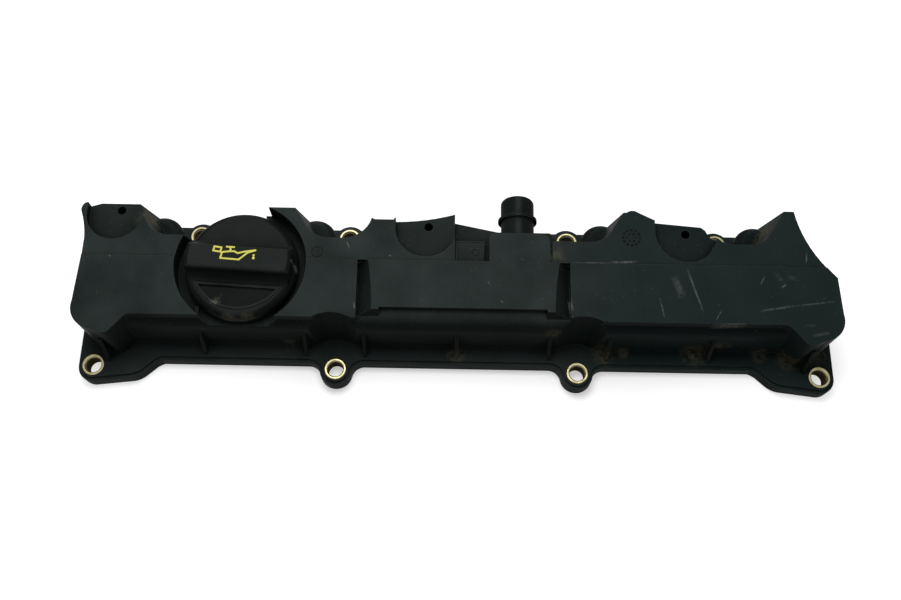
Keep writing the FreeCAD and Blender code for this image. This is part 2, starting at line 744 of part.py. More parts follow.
dome = revolve("grip_dome", outline("grip_dome_section", [
    ("0", "cap_top - 2"),
    ("grip_reach", "cap_top - 2"),
    ("grip_reach", "grip_top - 3", "3"),
    ("grip_reach - 3", "grip_top"),
    ("0", "grip_top"),
], plane="XZ"), Z)
grip = common("grip", [bar, dome])
half_moon = cut("half_moon", cylinder("moon_disc", "cap_flat - bead", "5", ("0", "0", "cap_top - scoop")),
                [block("moon_cut", ("-40", "-(grip_foot + bead)", "cap_top - 3"), ("80", "80", "20"))])
bead = cut("moon_bead", cut("bead_half", cylinder("bead_disc", "cap_flat - bead + bead_width",
                                                    "bead_height + 2", ("0", "0", "cap_top - 2")),
                             [block("bead_cut", ("-40", "-(grip_foot + bead - bead_width)", "cap_top - 4"),
                                    ("80", "80", "20"))]), [half_moon])
cap_whole = fuse("cap_whole", [cut("cap_scooped", disc, [half_moon]), bead, grip])
cap = node("filler_cap", cap_whole)
cap.Placement = FreeCAD.Placement(ORIGIN, FreeCAD.Rotation(Z, SIZES["grip_turn"]))
place(cap, "-cap_x", "cap_y", "0")

seal = node("filler_cap_seal", cut("filler_cap_seal", cylinder(
    "seal_disc", "filler_outer - 0.6", "seal_height", ("-cap_x", "cap_y", "filler_top")),
    [cylinder("seal_hole", "filler_bore", "seal_height + 2", ("-cap_x", "cap_y", "filler_top - 1"))]))

# Separator plate under the roof: a flat plate with gas slots and a drain spout, on six screws.
plate = block("baffle_plate", ("-tray_half", "-tray_front", "tray_height - plate_thick"),
              ("2 * tray_half", "tray_front + tray_rear", "plate_thick"))
spout = cylinder("drain_spout", "drain_radius", "drain_length", ("24", "2", "tray_height - drain_length"))
slots = [block(f"gas_slot_{index}", (f"-30 + 9 * {index}", "-slot_length / 2", "tray_height - 5"),
               ("slot_width", "slot_length", "10")) for index in range(3)]
holes = [cylinder(f"plate_hole_{index}", "screw_radius + 0.15", "10", (x, y, "tray_height - 5"))
         for index, (x, y) in enumerate(SCREWS)]
drain = cylinder("drain_hole", "drain_radius - 1.4", "drain_length + 4",
                 ("24", "2", "tray_height - drain_length - 1"))
node("separator_plate", cut("separator_plate", fuse("plate_whole", [plate, spout]),
                            [group("plate_openings", slots + holes + [drain])]))

for index, (x, y) in enumerate(SCREWS):
    shank = cylinder(f"shank_{index}", "screw_radius", "screw_length",
                     (x, y, "tray_height - plate_thick"))
    head = cylinder(f"head_{index}", "screw_head", "screw_head_height",
                    (x, y, "tray_height - plate_thick - screw_head_height"))
    node(f"separator_screw_{index + 1}", fuse(f"separator_screw_{index + 1}", [shank, head]))

doc.recompute()
for thing in doc.Objects:
    if "Invalid" in thing.State or "Error" in thing.State:
        raise RuntimeError(f"{thing.Name} failed: {thing.State}")
os.makedirs("parts", exist_ok=True)
for thing in NODES:
    if thing.Shape.isNull() or not thing.Shape.isValid():
        raise RuntimeError(f"{thing.Label} has no sound shape")
    print(thing.Label, len(thing.Shape.Solids), round(thing.Shape.Volume), thing.Shape.BoundBox)
    thing.Shape.exportStep(f"parts/{thing.Label}.step")
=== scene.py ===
import bmesh
import bpy
import math
from mathutils import Matrix, Vector


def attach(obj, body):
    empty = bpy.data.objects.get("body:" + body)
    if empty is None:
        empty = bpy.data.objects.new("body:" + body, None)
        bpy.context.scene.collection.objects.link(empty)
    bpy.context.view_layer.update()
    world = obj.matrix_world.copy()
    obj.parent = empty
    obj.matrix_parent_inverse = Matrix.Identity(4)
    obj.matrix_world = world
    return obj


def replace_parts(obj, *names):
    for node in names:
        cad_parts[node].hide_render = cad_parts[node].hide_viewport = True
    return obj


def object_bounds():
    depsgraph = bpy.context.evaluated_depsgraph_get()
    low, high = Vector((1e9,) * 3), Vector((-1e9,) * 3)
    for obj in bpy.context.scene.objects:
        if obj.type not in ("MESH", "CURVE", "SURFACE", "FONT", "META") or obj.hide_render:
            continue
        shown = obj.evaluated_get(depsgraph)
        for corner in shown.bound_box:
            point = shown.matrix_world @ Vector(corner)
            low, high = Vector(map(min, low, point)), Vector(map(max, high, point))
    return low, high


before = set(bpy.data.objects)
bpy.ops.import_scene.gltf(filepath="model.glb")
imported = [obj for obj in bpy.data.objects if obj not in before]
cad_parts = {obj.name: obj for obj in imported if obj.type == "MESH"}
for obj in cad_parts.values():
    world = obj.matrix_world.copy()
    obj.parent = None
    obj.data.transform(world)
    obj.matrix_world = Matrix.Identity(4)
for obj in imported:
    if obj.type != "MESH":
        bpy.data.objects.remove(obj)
cad_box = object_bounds()

# Cover shell: one long moulding in black glass-filled nylon with flange, ribs, breather box and spigot.
# It leaves a spark-eroded tool, so it is satin with a fine grain. Use has rubbed its edges, scratched its
# top and left brown dust in its corners. Shade is painted into its hollows, onto its steep, slanting and
# sunk level faces, and its right third is painted darker and greener as shade; a faint painted highlight
# runs along one facet at the front right.
MM = 0.001


def linear(code):
    """A colour written as sRGB hex, as the linear one that a shader takes."""
    parts = [int(code[i:i + 2], 16) / 255 for i in (0, 2, 4)]
    return [p / 12.92 if p <= 0.04045 else ((p + 0.055) / 1.055) ** 2.4 for p in parts] + [1.0]


def add(material, kind, inputs=None, **settings):
    """A node of that kind. An input is given a value, or the socket that it is linked to."""
    made = material.node_tree.nodes.new(kind)
    for name, value in settings.items():
        setattr(made, name, value)
    for name, value in (inputs or {}).items():
        if isinstance(value, bpy.types.NodeSocket):
            material.node_tree.links.new(value, made.inputs[name])
        else:
            made.inputs[name].default_value = value
    return made


def surface(name):
    """An empty material and the Object coordinates that its patterns lie on."""
    material = bpy.data.materials.new(name)
    material.use_nodes = True
    material.node_tree.nodes.clear()
    return material, add(material, "ShaderNodeTexCoord").outputs["Object"]


def noise(material, place, size, detail=2.0, low=0.4, high=0.6):
    """Cloudy patches of about that size, as 0 to 1 between two levels of the noise."""
    cloud = add(material, "ShaderNodeTexNoise", {"Vector": place, "Scale": 1 / size, "Detail": detail})
    return add(material, "ShaderNodeMapRange", {
        "Value": cloud.outputs["Fac"], "From Min": low, "From Max": high}).outputs["Result"]


def together(material, masks):
    """Several masks multiplied, so that a point counts only where all of them are strong."""
    product = masks[0]
    for mask in masks[1:]:
        product = add(material, "ShaderNodeMath", {0: product, 1: mask}, operation="MULTIPLY").outputs[0]
    return product


def strongest(material, masks):
    """The strongest of several masks at each point."""
    most = masks[0]
    for mask in masks[1:]:
        most = add(material, "ShaderNodeMath", {0: most, 1: mask}, operation="MAXIMUM").outputs[0]
    return most


def coat(material, below, above, mask, strength=1.0):
    """A colour laid over what is below it, as far as a mask and a strength let it show."""
    amount = together(material, [mask, strength])
    # inputs 6 and 7 and output 2 are the colours of a node that has a socket for each kind of value
    return add(material, "ShaderNodeMix", {0: amount, 6: below, 7: above}, data_type="RGBA").outputs[2]


def spot(material, place, centre, radius):
    """1 near a point, fading to 0 at that many millimetres from it."""
    away = add(material, "ShaderNodeVectorMath", {0: place, 1: Vector(centre) * MM}, operation="DISTANCE")
    return add(material, "ShaderNodeMapRange", {
        "Value": away.outputs["Value"],
        "From Min": radius * MM, "From Max": radius * MM * 0.2}).outputs["Result"]


def scratch(material, place, start, end, width, strength=1.0, height=48.0):
    """1 along a straight scratch seen from above, fading towards its sides and ends."""
    run = Vector(end) - Vector(start)
    middle = (Vector(end) + Vector(start)) * 0.5
    # half its length and a bit to fade in, half its width, and as far up and down as the top slopes
    reach = Vector((run.length * 0.55, width * 0.5, 14.0))
    turned = add(material, "ShaderNodeMapping", {
        "Vector": place,
        "Location": Vector((middle.x, middle.y, height)) * MM,
        "Rotation": (0.0, 0.0, math.atan2(run.y, run.x)),
        "Scale": reach * MM}, vector_type="TEXTURE")
    size = add(material, "ShaderNodeVectorMath", {0: turned.outputs[0]}, operation="ABSOLUTE")
    part = add(material, "ShaderNodeSeparateXYZ", {0: size.outputs[0]})
    far = strongest(material, [part.outputs["X"], part.outputs["Y"], part.outputs["Z"]])
    return add(material, "ShaderNodeMapRange", {
        "Value": far, "From Min": 1.0, "From Max": 0.3, "To Max": strength}).outputs["Result"]


FLANGE_TOP = 10.0 * MM
# level faces below this height belong to the flange and its lobes, and those above it to the top
TOP_FROM = 25.0 * MM


def plastic(name, colour, sheen_colour, roughness, grain, round_edge, marks, dust, sunk=(0.0, 0.0),
            speck=0.35, side=1, right_shade=None):
    """Moulded black plastic: grain, cloudy gloss, rubbed edges, scratches, specks, brown dust and painted
    shade.

    grain and round_edge are the width of its grain and the radius of its edges, in millimetres.
    sunk is the height below which level faces are painted darker, as shade, and how much darker they are.
    speck is how strongly the light specks show.
    side is 1 where scratches and dust lie on the upper side of a wall, and -1 on the lower one.
    The last argument gives the X from which the plastic is painted darker and greener, as shade, and the X
    from which that shade is full.
    """
    material, place = surface(name)
    # rubbed edges, found where the normal of a rounded edge turns away from the face's own
    edge = add(material, "ShaderNodeBevel", {"Radius": round_edge * MM}, samples=6)
    shape = add(material, "ShaderNodeNewGeometry")
    facing = add(material, "ShaderNodeVectorMath", {
        0: edge.outputs["Normal"], 1: shape.outputs["Normal"]}, operation="DOT_PRODUCT")
    rubbed = add(material, "ShaderNodeMapRange", {
        "Value": facing.outputs["Value"], "From Min": 0.995, "From Max": 0.8}).outputs["Result"]
    rubbed = together(material, [rubbed, noise(material, place, 9 * MM, 3.0, 0.28, 0.58)])
    # scratches and dust, broken up by noise and only on the outer side, and specks all over; the cover's
    # marks also hold a faint painted highlight
    upward = add(material, "ShaderNodeSeparateXYZ", {0: shape.outputs["Normal"]}).outputs["Z"]
    outside = add(material, "ShaderNodeMapRange", {
        "Value": upward, "From Min": -0.3 * side, "From Max": -0.1 * side}).outputs["Result"]
    scratches_and_highlight = strongest(material, [scratch(material, place, *mark) for mark in marks])
    scratches_and_highlight = together(material, [scratches_and_highlight, noise(material, place, 1.4 * MM, 2.0, 0.3, 0.55), outside])
    dirt = strongest(material, [spot(material, place, *patch) for patch in dust])
    dirt = together(material, [dirt, noise(material, place, 3.0 * MM, 5.0, 0.36, 0.66), outside])
    flecks = together(material, [noise(material, place, 1.7 * MM, 1.0, 0.70, 0.76), speck])
    # painted shade: hollows are painted dark, only faintly on the flange and below it
    open_air = add(material, "ShaderNodeAmbientOcclusion", {"Distance": 30 * MM},
                   samples=8, only_local=True).outputs["AO"]
    hollow_shade = add(material, "ShaderNodeMapRange", {
        "Value": open_air, "From Min": 0.95, "From Max": 0.55, "To Max": 0.8}).outputs["Result"]
    at = add(material, "ShaderNodeSeparateXYZ", {0: place})
    ledge = add(material, "ShaderNodeMapRange", {
        "Value": at.outputs["Z"], "From Min": FLANGE_TOP - 0.5 * MM, "From Max": FLANGE_TOP + 2 * MM,
        "To Min": 0.1}).outputs["Result"]
    # more painted shade on steep faces, on faces that look along the cover, and on level ones sunk below
    # the top
    lean = add(material, "ShaderNodeVectorMath", {0: shape.outputs["Normal"]}, operation="ABSOLUTE")
    lean = add(material, "ShaderNodeSeparateXYZ", {0: lean.outputs[0]})
    steep_shade = add(material, "ShaderNodeMapRange", {
        "Value": lean.outputs["Z"], "From Min": 0.93, "From Max": 0.6, "To Max": 0.6}).outputs["Result"]
    aslant_shade = add(material, "ShaderNodeMapRange", {
        "Value": lean.outputs["X"], "From Min": 0.08, "From Max": 0.25, "To Max": 0.7}).outputs["Result"]
    level = add(material, "ShaderNodeMapRange", {
        "Value": lean.outputs["Z"], "From Min": 0.98, "From Max": 0.995}).outputs["Result"]
    below = add(material, "ShaderNodeMapRange", {
        "Value": at.outputs["Z"], "From Min": (sunk[0] + 0.2) * MM, "From Max": (sunk[0] - 0.2) * MM,
        "To Max": sunk[1]}).outputs["Result"]
    above = add(material, "ShaderNodeMapRange", {
        "Value": at.outputs["Z"], "From Min": TOP_FROM, "From Max": TOP_FROM + 5 * MM}).outputs["Result"]
    painted_shade = strongest(material, [
        together(material, [hollow_shade, ledge]), steep_shade, aslant_shade, together(material, [level, below, above])])
    # the colours, from the plastic itself and its painted shade up to the dust that lies on it
    cloud = noise(material, place, 26 * MM, 3.0, 0.3, 0.75)
    base = coat(material, linear(colour), linear(sheen_colour), cloud)
    # painted shade: the plastic is painted darker and greener towards the right
    if right_shade:
        right_shading = add(material, "ShaderNodeMapRange", {
            "Value": at.outputs["X"], "From Min": right_shade[0] * MM, "From Max": right_shade[1] * MM})
        base = coat(material, base, linear("1B2928"), right_shading.outputs["Result"], 0.65)
    # the near-black first tint is painted shade
    for mask, tint, strength in (
            (painted_shade, "0B0D0C", 1.0), (rubbed, "4A4E4C", 0.8), (flecks, "5D605C", 0.5),
            (scratches_and_highlight, "747872", 0.55), (dirt, "6B6552", 0.65)):
        base = coat(material, base, linear(tint), mask, strength)
    # gloss goes in patches and is lost under dust
    gloss = add(material, "ShaderNodeMapRange", {
        "Value": cloud, "To Min": roughness - 0.04, "To Max": roughness + 0.05}).outputs["Result"]
    dull = together(material, [dirt, 0.3])
    gloss = add(material, "ShaderNodeMath", {0: gloss, 1: dull}, operation="ADD")
    # a real spark-eroded grain is a tenth of a millimetre wide, and is drawn coarser so that it shows
    pits = add(material, "ShaderNodeTexNoise", {"Vector": place, "Scale": 1 / (grain * MM), "Detail": 2.0})
    relief = add(material, "ShaderNodeBump", {
        "Height": pits.outputs["Fac"], "Strength": 0.25, "Distance": 0.06 * MM,
        "Normal": edge.outputs["Normal"]})
    skin = add(material, "ShaderNodeBsdfPrincipled", {
        "Base Color": base, "Roughness": gloss.outputs[0], "IOR": 1.5, "Specular IOR Level": 0.012,
        "Normal": relief.outputs["Normal"]})
    add(material, "ShaderNodeOutputMaterial", {"Surface": skin.outputs[0]})
    return material


# A scratch is its start, end and width, and for some its strength and height. A patch of dust is its
# centre and radius. All lengths are in millimetres.
COVER_MARKS = [
    ((125.6, 6.9), (133.2, -17.3), 1.3), ((118.3, 2.7), (122.4, -9.5), 5.0, 0.45),
    ((109.9, -9.7), (112.0, -20.6), 0.9), ((143.6, -15.4), (139.8, -21.8), 0.8),
    ((168.0, 3.6), (165.3, -1.1), 0.9), ((192.5, 18.3), (191.7, 11.8), 1.0),
    ((60.9, -10.7), (62.0, -18.1), 2.2), ((138.0, -24.0), (156.4, -23.4), 0.8),
    ((176.5, -2.8), (179.5, -0.8), 1.2), ((181.0, 2.0), (182.6, 3.6), 0.8),
    ((16.2, -2.0), (17.0, -3.8), 0.9), ((23.2, -12.8), (24.8, -14.0), 0.9),
    ((-38.4, 12.6), (-37.2, 11.6), 0.9), ((-61.9, 20.0), (-60.4, 16.0), 1.0),
    ((-56.4, -15.2), (-55.8, -19.0), 1.4), ((-192.0, 9.2), (-191.2, 8.2), 0.8),
    ((84.0, 10.4), (98.5, 10.9), 1.6), ((62.6, 9.9), (84.0, 9.9), 1.0, 0.8),
    # the two strokes on the next line are a faint painted highlight along the edge of a facet, not
    # scratches
    ((164.0, -16.2), (183.5, -12.8), 1.4, 0.7), ((182.5, -13.0), (205.7, -10.0), 1.2, 0.5),
    ((187.8, -23.8), (194.6, -23.7), 1.8, 0.25), ((191.3, -29.5), (201.0, -27.6), 2.0, 0.45, 40.0),
    ((173.5, 6.4), (178.0, -0.2), 3.6, 0.2), ((180.2, 3.8), (186.6, 2.1), 3.0, 0.25),
]
COVER_DUST = [
    ((136.0, -28.5, 11.0), 10.0), ((147.5, -24.5, 20.0), 9.0), ((84.5, -30.0, 12.0), 9.0),
    ((173.5, -29.0, 11.0), 6.0), ((175.0, 34.5, 38.0), 10.0), ((95.0, -29.0, 11.0), 5.0),
    ((0.0, -32.0, 12.0), 7.0), ((53.0, -26.0, 34.0), 6.0), ((54.5, 14.0, 45.0), 7.0),
    ((206.0, -27.0, 16.0), 13.0), ((-95.0, -29.0, 14.0), 6.0),
    ((190.0, -30.0, 14.0), 10.0), ((-176.8, 34.6, 38.0), 9.0), ((-89.2, 37.3, 38.0), 8.0),
]
# level faces below 44.6 mm, such as the pocket floors, are painted darker as shade, and from X 55 mm on the
# plastic is painted darker and greener as shade
nylon = plastic("moulded_glass_filled_nylon", "242A29", "343A39", roughness=0.46, grain=0.55,
                round_edge=0.55, marks=COVER_MARKS, dust=COVER_DUST, sunk=(44.6, 0.35),
                right_shade=(55.0, 90.0))


def hold(piece_mesh, name, body, material, crease=12):
    """A finished mesh as an object of its own on its CAD body, sharp where it turns past crease degrees."""
    for face in piece_mesh.faces:
        face.smooth = True
    for edge in piece_mesh.edges:
        edge.smooth = edge.calc_face_angle(math.pi) < math.radians(crease)
    data = bpy.data.meshes.new(name)
    piece_mesh.to_mesh(data)
    piece_mesh.free()
    if "custom_normal" in data.attributes:
        data.attributes.remove(data.attributes["custom_normal"])
    data.materials.append(material)
    piece = bpy.data.objects.new(name, data)
    bpy.context.scene.collection.objects.link(piece)
    flat = piece.modifiers.new("level_faces", "WEIGHTED_NORMAL")
    flat.keep_sharp = True
    flat.weight = 80
    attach(piece, body)
    return piece


WELD = 0.004 * MM


def dressed(node, name, body, material):
    """A CAD node's own shape with its loose triangles joined, shown in place of the node."""
    shape = bmesh.new()
    shape.from_mesh(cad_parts[node].data)
    bmesh.ops.remove_doubles(shape, verts=shape.verts, dist=WELD)
    piece = hold(shape, name, body, material)
    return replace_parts(piece, node)


dressed("cover_shell", "cover_moulding", "cover", nylon)

# Marks moulded into the top: three round date dials and the frame of a stamp beside the breather box.
# Inserts in the tool leave them a few tenths of a millimetre proud, in the cover's own nylon. The frame
# looks like the cover, and the dials are matt and painted near black, as shade.
REAR_TOP = 49.3 * MM
STAMP_LEVEL = 46.8 * MM
LEFT_DIAL = Vector((-78.1 * MM, 13.7 * MM, REAR_TOP))
STAMP_DIAL = Vector((9.5 * MM, 15.9 * MM, STAMP_LEVEL))
RIGHT_DIAL = Vector((96.0 * MM, 25.5 * MM, REAR_TOP))


def rim(shape, centre, radius, width, height):
    """A raised ring of square section, spun about its own upright axis."""
    section = bmesh.ops.create_grid(shape, x_segments=1, y_segments=1, size=0.5)["verts"]
    bmesh.ops.scale(shape, vec=(width, height, 1), verts=section)
    bmesh.ops.rotate(shape, matrix=Matrix.Rotation(math.radians(90), 3, "X"), verts=section)
    bmesh.ops.translate(shape, vec=Vector(centre) + Vector((radius, 0, 0)), verts=section)
    faces = list({face for vert in section for face in vert.link_faces})
    edges = list({edge for face in faces for edge in face.edges})
    bmesh.ops.delete(shape, geom=faces, context="FACES_ONLY")
    bmesh.ops.spin(shape, geom=edges, cent=centre, axis=(0, 0, 1), angle=math.tau, steps=40,
                   use_merge=True)


def pips(shape, centre, radius, count, size, height):
    """Low round dots on a circle."""
    for index in range(count):
        turn = math.tau * index / count
        spot_at = Vector(centre) + Vector((math.cos(turn), math.sin(turn), 0)) * radius
        flat = Matrix.Translation(spot_at) @ Matrix.Diagonal((1, 1, height / size, 1))
        bmesh.ops.create_icosphere(shape, subdivisions=2, radius=size, matrix=flat)


def stroke(shape, start, end, width, level, height):
    """A straight flat bar between two points seen from above, with its middle at that level.

    Each bar runs on by about a third of its width at either end, so that bars meet at their corners.
    """
    run = (Vector(end) - Vector(start)) * MM
    middle = (Vector(end) + Vector(start)) * (MM / 2)
    lie = (Matrix.Translation((middle.x, middle.y, level))
           @ Matrix.Rotation(math.atan2(run.y, run.x), 4, "Z")
           @ Matrix.Diagonal((run.length + width * MM * 0.7, width * MM, height * MM, 1)))
    bmesh.ops.create_cube(shape, size=1.0, matrix=lie)


frame_marks = bmesh.new()
stroke(frame_marks, (-1.8, 22.2), (13.8, 22.2), width=0.5, level=STAMP_LEVEL, height=0.5)
stroke(frame_marks, (-1.2, 22.2), (-1.2, 11.0), width=0.4, level=STAMP_LEVEL, height=0.3)
bmesh.ops.recalc_face_normals(frame_marks, faces=frame_marks.faces)
hold(frame_marks, "stamp_frame", "cover", nylon)

insert, place = surface("shade_painted_insert_nylon")
# the dials' near-black colour is painted shade
dial_shade = coat(insert, linear("0B0D0C"), linear("151817"), noise(insert, place, 2 * MM))
skin = add(insert, "ShaderNodeBsdfPrincipled", {
    "Base Color": dial_shade, "Roughness": 0.5, "Specular IOR Level": 0.035})
add(insert, "ShaderNodeOutputMaterial", {"Surface": skin.outputs[0]})
dials = bmesh.new()
rim(dials, LEFT_DIAL, radius=3.0 * MM, width=0.45 * MM, height=0.3 * MM)
pips(dials, LEFT_DIAL, radius=1.4 * MM, count=5, size=0.3 * MM, height=0.15 * MM)
rim(dials, STAMP_DIAL, radius=1.9 * MM, width=0.4 * MM, height=0.3 * MM)
pips(dials, RIGHT_DIAL, radius=4.7 * MM, count=12, size=0.8 * MM, height=0.25 * MM)
pips(dials, RIGHT_DIAL, radius=2.3 * MM, count=6, size=0.68 * MM, height=0.25 * MM)
bmesh.ops.recalc_face_normals(dials, faces=dials.faces)
hold(dials, "date_dials", "cover", insert)

# Compression sleeves: short turned steel tubes, zinc plated and yellow passivated, pressed into the lugs so
# that the bolts don't crush the plastic. Their top rim is bright; their bore is painted darker brown and
# less metallic further down, as shade.
# the bore is painted darker, as shade, from the first of these heights down, and fully from the second
BORE_SHADE_START = 10.9 * MM
BORE_SHADE_FULL = 8.5 * MM
zinc, place = surface("yellow_passivated_zinc")
tarnish = noise(zinc, place, 3 * MM, 3.0, 0.35, 0.7)
height = add(zinc, "ShaderNodeSeparateXYZ", {0: place}).outputs["Z"]
depth = add(zinc, "ShaderNodeMapRange", {
    "Value": height, "From Min": BORE_SHADE_START, "From Max": BORE_SHADE_FULL}).outputs["Result"]
lean = add(zinc, "ShaderNodeVectorMath", {
    0: add(zinc, "ShaderNodeNewGeometry").outputs["Normal"]}, operation="ABSOLUTE")
lean = add(zinc, "ShaderNodeSeparateXYZ", {0: lean.outputs[0]}).outputs["Z"]
walls = add(zinc, "ShaderNodeMapRange", {
    "Value": lean, "From Min": 0.6, "From Max": 0.3}).outputs["Result"]
depth = together(zinc, [depth, walls])
plated = coat(zinc, linear("A8A17E"), linear("87805A"), tarnish)
# painted shade: the bore's walls are painted darker brown going down
plated = coat(zinc, plated, linear("4A421E"), depth, 0.9)
# real turning marks are too fine to show, so they are drawn as ripples half a millimetre wide
turned_marks = add(zinc, "ShaderNodeTexNoise", {"Vector": place, "Scale": 1 / (0.5 * MM), "Detail": 1.0})
ripple = add(zinc, "ShaderNodeBump", {
    "Height": turned_marks.outputs["Fac"], "Strength": 0.08, "Distance": 0.03 * MM,
    "Normal": add(zinc, "ShaderNodeBevel", {"Radius": 0.3 * MM}, samples=6).outputs["Normal"]})
# the shaded bore is also made less metallic, so that it mirrors less
bare = add(zinc, "ShaderNodeMapRange", {"Value": depth, "To Min": 1.0, "To Max": 0.05}).outputs["Result"]
metal = add(zinc, "ShaderNodeBsdfPrincipled", {
    "Base Color": plated, "Metallic": bare, "Roughness": 0.36, "Specular IOR Level": 0.0,
    "Normal": ripple.outputs["Normal"]})
add(zinc, "ShaderNodeOutputMaterial", {"Surface": metal.outputs[0]})
for row in ("front", "rear"):
    for index in range(1, 5):
        dressed(f"sleeve_{row}_{index}", f"bolt_sleeve_{row}_{index}", "cover", zinc)

# Gasket and cap seal: moulded black rubber, the gasket pushed into its groove, the seal held flat
# under the cap. Rubber is matt with a faint bloom.
rubber, place = surface("moulded_nitrile_rubber")
bloom = coat(rubber, linear("161616"), linear("222221"), noise(rubber, place, 6 * MM))
# the fine texture that the mould leaves, drawn coarse enough to show
texture = add(rubber, "ShaderNodeTexNoise", {"Vector": place, "Scale": 1 / (0.4 * MM)})
soft = add(rubber, "ShaderNodeBump", {
    "Height": texture.outputs["Fac"], "Strength": 0.2, "Distance": 0.05 * MM})
skin = add(rubber, "ShaderNodeBsdfPrincipled", {
    "Base Color": bloom, "Roughness": 0.7, "IOR": 1.52, "Normal": soft.outputs["Normal"]})
add(rubber, "ShaderNodeOutputMaterial", {"Surface": skin.outputs[0]})
dressed("perimeter_gasket", "gasket_ring", "cover", rubber)
dressed("filler_cap_seal", "cap_seal_ring", "cap_carrier", rubber)

# Oil filler cap: a moulded nylon disc with a grip bar across it, screwed into the neck. It is a little
# smoother than the cover, with scratches and dust on the shoulder in front.
CAP_MARKS = [
    ((-135.3, -15.6), (-130.1, -17.9), 1.1), ((-132.2, -13.4), (-130.6, -17.2), 0.9),
    ((-134.5, -17.2), (-131.0, -14.6), 0.8), ((-128.4, -11.0), (-130.6, -14.6), 0.5, 0.6),
    ((-90.8, 6.4), (-88.5, 2.0), 2.2, 1.0, 54.0),
]
CAP_DUST = [
    ((-124.0, -26.0, 44.0), 6.0), ((-114.0, -26.0, 44.0), 6.0), ((-131.5, -15.5, 47.0), 3.0),
]
# level faces below 47.1 mm, such as the hollow in front of the grip bar, are painted darker, as shade
cap_skin = plastic("moulded_cap_nylon", "1F2321", "2B2E2C", roughness=0.4, grain=0.8, round_edge=0.6,
                   marks=CAP_MARKS, dust=CAP_DUST, sunk=(47.1, 0.6), speck=0.15)
dressed("filler_cap", "filler_cap_moulding", "cap", cap_skin)

# Thread of neck and cap: two starts of a low nylon ridge on each, moulded in one with its carrier.
# The neck's ridges lie halfway between the stem's, so they pass clear while the cap turns.
THREAD_LEAD = 10.0 * MM
THREAD_STARTS = 2
THREAD_STEPS = 48
HALF_FOOT = 0.6 * MM
HALF_CREST = 0.35 * MM
NECK_AXIS = Vector((-120.0, 6.3, 0)) * MM


def thread(name, foot, crest, height, first, body, material):
    """Ridges that climb once round the neck's axis from that height, with foot and crest as radii."""
    ridges = bmesh.new()
    section = ((foot, -HALF_FOOT), (crest, -HALF_CREST), (crest, HALF_CREST), (foot, HALF_FOOT))
    for start in range(THREAD_STARTS):
        corners = [ridges.verts.new(NECK_AXIS + Vector((radius, 0, height + rise)))
                   for radius, rise in section]
        edges = [ridges.edges.new((corners[index - 1], corners[index])) for index in range(4)]
        turn = Matrix.Rotation(first + math.tau * start / THREAD_STARTS, 3, "Z")
        bmesh.ops.rotate(ridges, cent=NECK_AXIS, matrix=turn, verts=corners)
        bmesh.ops.spin(ridges, geom=edges, cent=NECK_AXIS, axis=(0, 0, 1), angle=math.tau,
                       steps=THREAD_STEPS, dvec=(0, 0, THREAD_LEAD / THREAD_STEPS))
    bmesh.ops.holes_fill(ridges, edges=[edge for edge in ridges.edges if edge.is_boundary])
    bmesh.ops.recalc_face_normals(ridges, faces=ridges.faces)
    hold(ridges, name, body, material, crease=40)


thread("stem_thread", foot=19.7 * MM, crest=20.3 * MM, height=24.8 * MM, first=0.0,
       body="cap", material=cap_skin)
thread("neck_thread", foot=20.8 * MM, crest=20.1 * MM, height=28.9 * MM, first=math.tau / 4,
       body="cover", material=nylon)

# Oil can sign on the grip bar: the plain workshop pictogram, pad printed in yellow on the flat top.
# It is drawn in lines of even width, a few hundredths of a millimetre thick. The ink is matt and
# covers a little unevenly.
SIGN_LEVEL = cad_box[1][2]  # the bar's flat top is the highest face of the part
paint, place = surface("pad_printed_yellow_ink")
ink = coat(paint, linear("DCD64A"), linear("C4BE3C"), noise(paint, place, 1.5 * MM, 2.0, 0.3, 0.75))
skin = add(paint, "ShaderNodeBsdfPrincipled", {"Base Color": ink, "Roughness": 0.5})
add(paint, "ShaderNodeOutputMaterial", {"Surface": skin.outputs[0]})

sign = bmesh.new()
LINES = [
    [(-128.5, 9.1), (-129.1, 5.6), (-119.1, 4.9), (-114.4, 9.1), (-110.4, 10.4)],
    [(-128.5, 9.1), (-124.9, 9.6), (-121.9, 9.7), (-119.9, 8.6), (-117.1, 9.4), (-110.4, 10.5)],
    [(-129.4, 9.3), (-133.3, 9.9), (-132.9, 12.4), (-129.0, 11.8), (-129.4, 9.3)],
    [(-126.2, 12.3), (-122.1, 12.1)],
    [(-124.1, 12.1), (-123.9, 9.7)],
]
top = SIGN_LEVEL
for line in LINES:
    for start, end in zip(line, line[1:]):
        # each stroke lies a hair above the last, so that no two faces share a plane
        top += 0.002 * MM
        stroke(sign, start, end, width=1.0, level=top, height=0.06)
# the drop below the spout is a cone laid flat with a round disc at its wide end
DROP_X = -111.2 * MM
drop = (Matrix.Translation((DROP_X, 7.0 * MM, top)) @ Matrix.Diagonal((1, 1, 0.04, 1))
        @ Matrix.Rotation(math.radians(-90), 4, "X"))
bmesh.ops.create_cone(sign, cap_ends=True, segments=16, radius1=0.1 * MM, radius2=0.72 * MM,
                      depth=2.0 * MM, matrix=drop)
bmesh.ops.create_cone(sign, cap_ends=True, segments=20, radius1=0.75 * MM, radius2=0.75 * MM,
                      depth=0.05 * MM, matrix=Matrix.Translation((DROP_X, 5.9 * MM, top)))
bmesh.ops.recalc_face_normals(sign, faces=sign.faces)
hold(sign, "oil_sign", "cap", paint)

